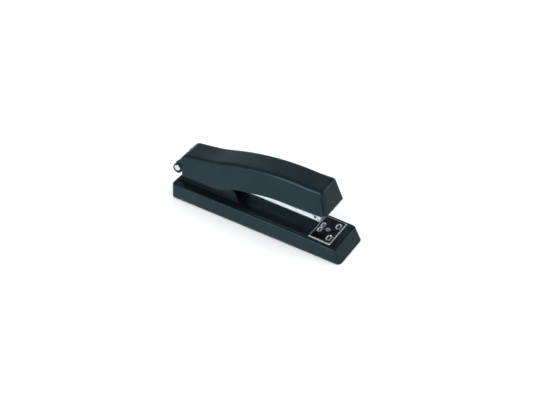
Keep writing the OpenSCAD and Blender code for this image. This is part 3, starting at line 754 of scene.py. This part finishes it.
coil_place = anvil_place @ Matrix.Translation((0, 0, spring_low))
anvil_coil = coil("coil", r=3.6, wire=0.3, length=4.9, turns=4, local=coil_place)
piece(anvil_coil, "anvil_spring_coil", "anvil_button", "spring_steel", ["anvil_spring"])
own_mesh(anvil_coil)


# ---- Magazine ----

def build_magazine():
    """Two walls with round rear lobes, bores for the hinge pin and holes for the rail's pin, and a floor."""
    lobe = arc((pin_x, pin_z), mag_lobe_r, 90, 270, 24)
    outline = lobe + [(mag_rear, mag_z), (157, mag_z), (159.2, mag_z - 0.75), (mag_front, mag_z - lip_drop)]
    outline += [(mag_front, mag_top), (mag_rear, mag_top)]
    bore = arc((pin_x, pin_z), pin_r + 0.06, 0, 348.75, 31)
    low, high = span("rail_pin")
    pin_middle = (low + high) / 2
    hole = arc((pin_middle.x, pin_middle.z), (high.x - low.x) / 2, 0, 345, 23)
    parts = []
    for side in (-1, 1):
        middle = side * (mag_hw - mag_t / 2)
        parts.append(plate("wall", outline, [bore, hole], (0, middle, 0), mag_t, SIDE, 0.18))
    inner = mag_hw - mag_t + 0.05
    rear = mag_rear + 0.1
    front = mag_front - 2.2
    floor = [(rear, -inner), (front, -inner), (front, inner), (rear, inner)]
    parts.append(plate("floor", floor, [], (0, 0, mag_z + mag_t / 2), mag_t, FLAT, 0.1))
    return joined("channel", parts)


piece(build_magazine(), "magazine_body", "magazine", "magazine_chrome", ["magazine_channel"])


def build_nose():
    """The front plate, with rounded lower corners and a notch in its top for the driver."""
    low = mag_z - 0.25
    corner = 0.8
    notch_hw = 5
    notch_z = 37.8
    bend = notch_hw - corner
    outline = [(-mag_hw + corner, low)] + arc((mag_hw - corner, low + corner), corner, -90, 0, 5)
    outline += [(mag_hw, mag_top), (notch_hw, mag_top), (notch_hw, notch_z)]
    outline += arc((bend, notch_z), corner, 0, -90, 5) + arc((-bend, notch_z), corner, -90, -180, 5)
    outline += [(-notch_hw, mag_top), (-mag_hw, mag_top)]
    outline += arc((-mag_hw + corner, low + corner), corner, 180, 270, 5)[:-1]
    return plate("nose", outline, [], (mag_front + 0.42, 0, 0), mag_t, FRONT, 0.2)


piece(build_nose(), "magazine_nose_body", "magazine", "plain_steel", ["magazine_nose"])


def staple_arch(hw, foot, top, r):
    """One side of a staple's outline: up a leg, round two corners of radius r and down again."""
    rise = arc((-hw + r, top - r), r, 180, 90, 4)
    fall = arc((hw - r, top - r), r, 90, 0, 4)
    return [(-hw, foot)] + rise + fall + [(hw, foot)]


def build_staples():
    """One U of wire for each staple, side by side along the rail, each with eased front and rear edges."""
    wire = 0.5
    hw = 6.35
    top = rail_top + 0.55
    foot = top - 6
    pitch = 0.508
    ease = 0.1
    gap = 0.02
    outer = staple_arch(hw, foot, top, 0.6)
    inner = staple_arch(hw - wire, foot, top - wire, 0.15)
    size = len(outer)
    points = []
    faces = []
    for n in range(int((strip_x[1] - strip_x[0]) / pitch)):
        x0 = strip_x[0] + n * pitch
        x1 = x0 + pitch - gap
        first = len(points)
        for x, inset in ((x0, ease), (x0 + ease, 0), (x1 - ease, 0), (x1, ease)):
            scale = 1 - inset / hw
            points += [(x, y * scale, foot + (z - foot) * scale if z > foot else z) for y, z in outer]
            points += [(x, y, z) for y, z in inner]
        for i in range(3):
            a = first + i * 2 * size
            b = a + 2 * size
            for j in range(size - 1):
                faces.append((a + j, a + j + 1, b + j + 1, b + j))
                faces.append((a + size + j, b + size + j, b + size + j + 1, a + size + j + 1))
            faces.append((a, b, b + size, a + size))
            faces.append((a + size - 1, a + 2 * size - 1, b + 2 * size - 1, b + size - 1))
        for a in (first, first + 3 * 2 * size):
            for j in range(size - 1):
                faces.append((a + j, a + j + 1, a + size + j + 1, a + size + j))
    return solid("staples", points, faces)


piece(build_staples(), "staple_strip_wires", "magazine", "staple_wire", ["staple_strip"])

turn_x = Matrix.Translation((seat_x, 0, rod_z)) @ Matrix.Rotation(math.radians(90), 4, "Y")
pusher_coil = coil("coil", r=1.9, wire=0.28, length=ring_x - seat_x, turns=30, local=turn_x)
piece(pusher_coil, "pusher_spring_coil", "magazine", "spring_steel", ["pusher_spring"])
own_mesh(pusher_coil)


# ---- Leaf springs, drawn as they lie with the stapler pressed, so that they stay clear of it ----

def leaf(name, path, hw, local=FLAT):
    """A strip of spring steel hw either side of the centre plane; path is its upper face."""
    lower = []
    for i, (x, z) in enumerate(path):
        before = path[max(i - 1, 0)]
        after = path[min(i + 1, len(path) - 1)]
        dx = after[0] - before[0]
        dz = after[1] - before[1]
        step = leaf_t / math.hypot(dx, dz)
        lower.append((x + dz * step, z - dx * step))
    outline = path + lower[::-1]
    count = len(outline)
    points = [(x, -hw, z) for x, z in outline] + [(x, hw, z) for x, z in outline]
    faces = grid_faces(2, count, ring=True)
    for start in (0, count):
        for i in range(len(path) - 1):
            k = count - 1 - i
            faces.append((start + i, start + i + 1, start + k - 1, start + k))
    return solid(name, points, faces, local)


def build_lift_leaf():
    """The spring under the magazine: flat on the bracket's floor, then up to a curled tip."""
    foot = base_h + bracket_t + leaf_t
    tip_x = 56
    top = mag_z - (tip_x - pin_x) * press - 0.1
    rise = bezier([(24, foot), (33, foot), (43, top - 1.3), (52, top)], 14)
    curl = bezier([(53, top), (54.5, top - 0.05), (tip_x, top - 0.75), (tip_x + 1, top - 1.95)], 5)
    return leaf("lift_leaf", [(11, foot)] + rise + curl, 3.4)


def build_return_leaf():
    """The spring under the handle's frame, bent down to slide on the staple rail."""
    rest = rail_top - pin_z + leaf_t + 0.1
    fall = bezier([(22, web_z - 0.2), (26, web_z - 1), (28, rest + 1), (30.5, rest + 0.2)], 10)
    toe = bezier([(31.3, rest), (31.8, rest), (32.4, rest + 0.3), (33, rest + 1)], 4)
    return leaf("return_leaf", [(13.5, web_z), (20, web_z)] + fall + toe, 4, web_place)


piece(build_lift_leaf(), "lift_spring_leaf", "base", "spring_steel", ["lift_spring"])
piece(build_return_leaf(), "return_spring_leaf", "handle", "spring_steel", ["return_spring"])


# ---- Handle ----

def soft_max(a, b, s):
    """The larger of two heights, with the corner between them rounded over about s."""
    return (a + b + math.sqrt((a - b) ** 2 + s * s)) / 2


def soft_min(a, b, s):
    """The smaller of two heights, with the corner between them rounded over about s."""
    return (a + b - math.sqrt((a - b) ** 2 + s * s)) / 2


def on_line(line, x):
    """The height at x of a line given as (station, height there, slope)."""
    return line[1] + line[2] * (x - line[0])


def handle_top(x):
    """The arch of the handle's top, which runs out into a straight line at the rear."""
    arch = crest_z - arch_bend * (x - crest_x) ** 2
    return soft_max(arch, rear_top[1] + tail_slope * (x - rear_top[0]) - 0.1, 2.2)


def skirt_line(x):
    """The lower edge of the sides: level at the rear, then two slopes up to a level stretch."""
    slopes = soft_min(on_line(belly_line, x), on_line(arm_line, x), 2)
    return soft_min(soft_max(skirt_z, slopes, 2), side_low_z, 2)


def handle_low(x):
    """The whole lower edge: the skirt line, and an arc up to the front face."""
    ahead = min(max(x - chin_x, 0), chin_r)
    rise = chin_r - math.sqrt(chin_r ** 2 - ahead ** 2)
    return min(skirt_line(x) + rise, front_low_z)


# A level distance times these is the distance square to the sloping front and rear faces.
FRONT_LEAN = 0.955
REAR_LEAN = 0.797

# Higher than any point of the handle.
above_all = 75


def edge_radius(w):
    """The rounding of the long top edges on the skin that lies w inside the outer one."""
    return edge_round - 0.6 * w


def near_edges(x, z, w):
    """How far a point of the side has come into the rounded edges: 0 on the flat, 1 at the outline."""
    top = handle_top(x) - z - w
    ahead = (front_low_x - (z - front_low_z) / front_slope - x) * FRONT_LEAN - w
    behind = (x - rear_top[0] + (rear_top[1] - z) / rear_slope) * REAR_LEAN - w
    shrink = edge_radius(w) / edge_round
    total = 0
    for distance, r in ((top, edge_round), (ahead, front_round), (behind, rear_round)):
        total += max(0, 1 - distance / (r * shrink)) ** 2
    return total


def highest(holds, low, high, halvings):
    """The greatest height between low and high for which holds is true, found by halving."""
    for _ in range(halvings):
        middle = (low + high) / 2
        if holds(middle):
            low = middle
        else:
            high = middle
    return low


def handle_slice(x, w, drop):
    """The handle's section at x, moved in by w, from one foot over the top to the other."""
    foot = handle_low(x) - drop
    top = max(highest(lambda z: near_edges(x, z, w) < 1, foot, above_all, 40), foot + 0.15)
    flat = highest(lambda z: near_edges(x, z, w) <= 0, foot, top, 30)
    r = edge_radius(w)
    turns = spaced(0, 90, 12) + [90]
    levels = [top - (top - flat) * (1 - math.cos(math.radians(a))) for a in turns]
    end = min(foot + (rim_round if w == 0 else 0), flat)
    levels += spaced(flat, end, 10)[1:] + [end]
    half = []
    low_edge = skirt_line(x)
    crest = handle_top(x)
    for z in levels:
        width = handle_top_w + (handle_low_w - handle_top_w) * (crest - z) / (crest - low_edge) - w
        round_off = r * (1 - math.sqrt(max(0, 1 - near_edges(x, z, w))))
        half.append((width - round_off, z))
    if w == 0:
        y, z = half[-1]
        half += [(y - 0.12, foot + (z - foot) * 0.3), (y - 0.4, foot)]
    across = [(half[0][0] * (1 - i / 3), half[0][1]) for i in range(1, 6)]
    left = [(x, y, z) for y, z in reversed(half)]
    middle = [(x, y, z) for y, z in across]
    right = [(x, -y, z) for y, z in half]
    return left + middle + right


def handle_form(name, w, drop):
    """The handle as one closed body: its outside, or with w and drop the room to take out of it."""
    x0 = 0.3 + 1.3 * w
    x1 = front_low_x - 0.05 - 1.05 * w
    rear_stop = rear_top[0] + 8
    front_start = front_top_x - 7
    stations = spaced(x0, rear_stop, 34) + spaced(rear_stop, front_start, 90)
    stations += spaced(front_start, x1, 44) + [x1]
    rows = [handle_slice(x, w, drop) for x in stations]
    count = len(rows[0])
    points = [p for row in rows for p in row]
    faces = grid_faces(len(rows), count)
    for i in range(len(rows) - 1):
        a = i * count
        faces.append((a, a + count, a + 2 * count - 1, a + count - 1))
    faces.append(tuple(range(count)))
    faces.append(tuple((len(rows) - 1) * count + j for j in reversed(range(count))))
    return solid(name, points, faces)


def box_tool(low, high):
    """A block between two corners."""
    corners = [(x, y, z) for x in (low[0], high[0]) for y in (low[1], high[1]) for z in (low[2], high[2])]
    faces = [(0, 1, 3, 2), (4, 6, 7, 5), (0, 4, 5, 1), (2, 3, 7, 6), (0, 2, 6, 4), (1, 5, 7, 3)]
    return solid("tool", corners, faces)


def prism_tool(outline, y0, y1):
    """A prism across the stapler over an x-z outline."""
    count = len(outline)
    points = [(x, y0, z) for x, z in outline] + [(x, y1, z) for x, z in outline]
    faces = grid_faces(2, count, ring=True)
    faces += [tuple(range(count)), tuple(reversed(range(count, 2 * count)))]
    return solid("tool", points, faces)


def seam_tool(side):
    """A bar that cuts the seam between a side and the front face, about half way through the wall."""
    width = 0.75
    behind = 2.6
    corners = []
    for z, deep in ((front_low_z - 1, 16.2), (front_low_z + 17.4, 12.2)):
        x = front_low_x - (z - front_low_z) / front_slope - behind
        corners += [(x, side * deep, z), (x + width, side * deep, z)]
        corners += [(x + width, side * (deep + 6), z), (x, side * (deep + 6), z)]
    faces = grid_faces(2, 4, ring=True) + [(0, 1, 2, 3), (7, 6, 5, 4)]
    return solid("tool", corners, faces)


def build_handle():
    """A shell, open below and at the rear, with round pin bosses, two seams and two screw bosses."""
    rear = -10
    low = 10
    beyond_y = 30
    shell = handle_form("handle", 0, 0)
    shell = cut(shell, handle_form("tool", handle_wall, 6))
    meet = math.degrees(math.acos((lobe_front - pin_x) / lobe_r))
    lobe = arc((pin_x, pin_z), lobe_r, -meet, -180, 40)
    below = [(rear, low), (lobe_front, low)] + lobe + [(rear, pin_z)]
    shell = cut(shell, prism_tool(below, -beyond_y, beyond_y))
    shell = cut(shell, box_tool((rear, -yoke_hw, low), (12, yoke_hw, 45)))
    ring = arc((pin_x, pin_z), boss_r, 0, 352.5, 47)
    for side in (-1, 1):
        ends = sorted((side * yoke_hw, side * boss_face_y))
        shell = cut(shell, prism_tool(ring, *ends), "UNION")
        beyond = sorted((side * boss_face_y, side * beyond_y))
        shell = cut(shell, prism_tool(ring, *beyond))
    for side in (-1, 1):
        shell = cut(shell, seam_tool(side))
    foot = 8.4
    for x in screw_stations:
        top = handle_top(pin_x + x - 1.5) - handle_wall / 2 - pin_z - x * math.sin(web_angle)
        top /= math.cos(web_angle)
        profile = [(0, foot), (1.5, foot), (3.8, foot), (3.8, top), (0, top)]
        boss = lathe("tool", profile, web_place @ Matrix.Translation((x, 0, 0)), 40)
        shell = cut(shell, boss, "UNION")
    return shell


piece(build_handle(), "handle_body", "handle", "handle_black", ["handle_shell"], 28)


# ---- Floor, camera and light ----

centre = (cad_box[0] + cad_box[1]) / 2


def build_floor(hw):
    """A square of pale matt paper, hw metres either side of the middle."""
    mesh = bpy.data.meshes.new("floor")
    corners = [(x * hw, y * hw, 0) for x, y in ((-1, -1), (1, -1), (1, 1), (-1, 1))]
    mesh.from_pydata(corners, [], [(0, 1, 2, 3)])
    made = bpy.data.objects.new("floor", mesh)
    bpy.context.scene.collection.objects.link(made)
    paper = bpy.data.materials.new("paper")
    paper.use_nodes = True
    sockets = paper.node_tree.nodes["Principled BSDF"].inputs
    sockets["Base Color"].default_value = (0.93, 0.93, 0.93, 1)
    sockets["Roughness"].default_value = 0.9
    sockets["Specular IOR Level"].default_value = 0.1
    mesh.materials.append(paper)
    return made


floor = build_floor(1.5)


def build_camera():
    """The photograph's view: from in front of the near side and above."""
    made = bpy.data.objects.new("camera", bpy.data.cameras.new("camera"))
    made.data.sensor_width = 36
    made.data.lens = 75.5
    made.location = (0.43325, -0.69188, 0.70345)
    sight = Vector((-0.4059, 0.6516, -0.6411))
    made.rotation_mode = "QUATERNION"
    made.rotation_quaternion = sight.to_track_quat("-Z", "Y")
    bpy.context.scene.collection.objects.link(made)
    bpy.context.scene.camera = made


build_camera()


def softbox(name, position, size, power):
    """A rectangular area light aimed at the stapler."""
    light = bpy.data.lights.new(name, "AREA")
    light.shape = "RECTANGLE"
    light.size, light.size_y = size
    light.energy = power
    made = bpy.data.objects.new(name, light)
    made.location = position
    made.rotation_mode = "QUATERNION"
    made.rotation_quaternion = (centre - Vector(position)).to_track_quat("-Z", "Y")
    bpy.context.scene.collection.objects.link(made)
    return made


# The overhead light and the floor don't show in the gloss, which mirrors the side lights and the world.
overhead = softbox("overhead", position=(0.1, 0.1, 1.9), size=(3.2, 3.2), power=66)
overhead.visible_glossy = False
floor.visible_glossy = False
softbox("near_side", position=(-0.35, -1.5, 0.62), size=(0.9, 1.0), power=13)
softbox("far_side", position=(0.95, 1.15, 0.8), size=(0.5, 0.4), power=1.5)


def build_world():
    """Light from all round, bright at the horizon and dark overhead, with a ramp for each long side."""
    world = bpy.data.worlds.new("studio")
    world.use_nodes = True
    bpy.context.scene.world = world
    tree = world.node_tree
    coords = add_node(tree, "ShaderNodeTexCoord").outputs["Generated"]
    parts = add_node(tree, "ShaderNodeSeparateXYZ", {0: coords}).outputs

    def by_height(stops):
        """Strength by the direction's z, as (z, strength) pairs."""
        rise = add_node(tree, "ShaderNodeMapRange", {"Value": parts["Z"], "From Min": -1, "From Max": 1})
        made = add_node(tree, "ShaderNodeValToRGB", {"Fac": rise.outputs["Result"]})
        ramp = made.color_ramp
        ramp.interpolation = "EASE"
        for i, (z, strength) in enumerate(stops):
            element = ramp.elements[i] if i < 2 else ramp.elements.new((z + 1) / 2)
            element.position = (z + 1) / 2
            element.color = (strength, strength, strength, 1)
        return made.outputs["Color"]

    near = by_height([(-0.1, 0.86), (0.0, 0.86), (0.3, 0.36), (0.8, 0.06)])
    far = by_height([(-0.62, 0.8), (-0.3, 0.42), (0.02, 0.85), (0.3, 0.42), (0.6, 0.26), (0.85, 0.06)])
    across = {"Value": parts["Y"], "From Min": -0.35, "From Max": 0.35}
    share = add_node(tree, "ShaderNodeMapRange", across, interpolation_type="SMOOTHSTEP").outputs["Result"]
    strength = add_node(tree, "ShaderNodeMixRGB", {"Fac": share, "Color1": near, "Color2": far})
    gain = add_node(tree, "ShaderNodeMath", {0: strength.outputs["Color"], 1: 1.1}, operation="MULTIPLY")
    back = tree.nodes["Background"]
    back.inputs["Color"].default_value = (0.86, 0.97, 1.0, 1)
    tree.links.new(gain.outputs["Value"], back.inputs["Strength"])


build_world()
bpy.context.scene.view_settings.view_transform = "Standard"
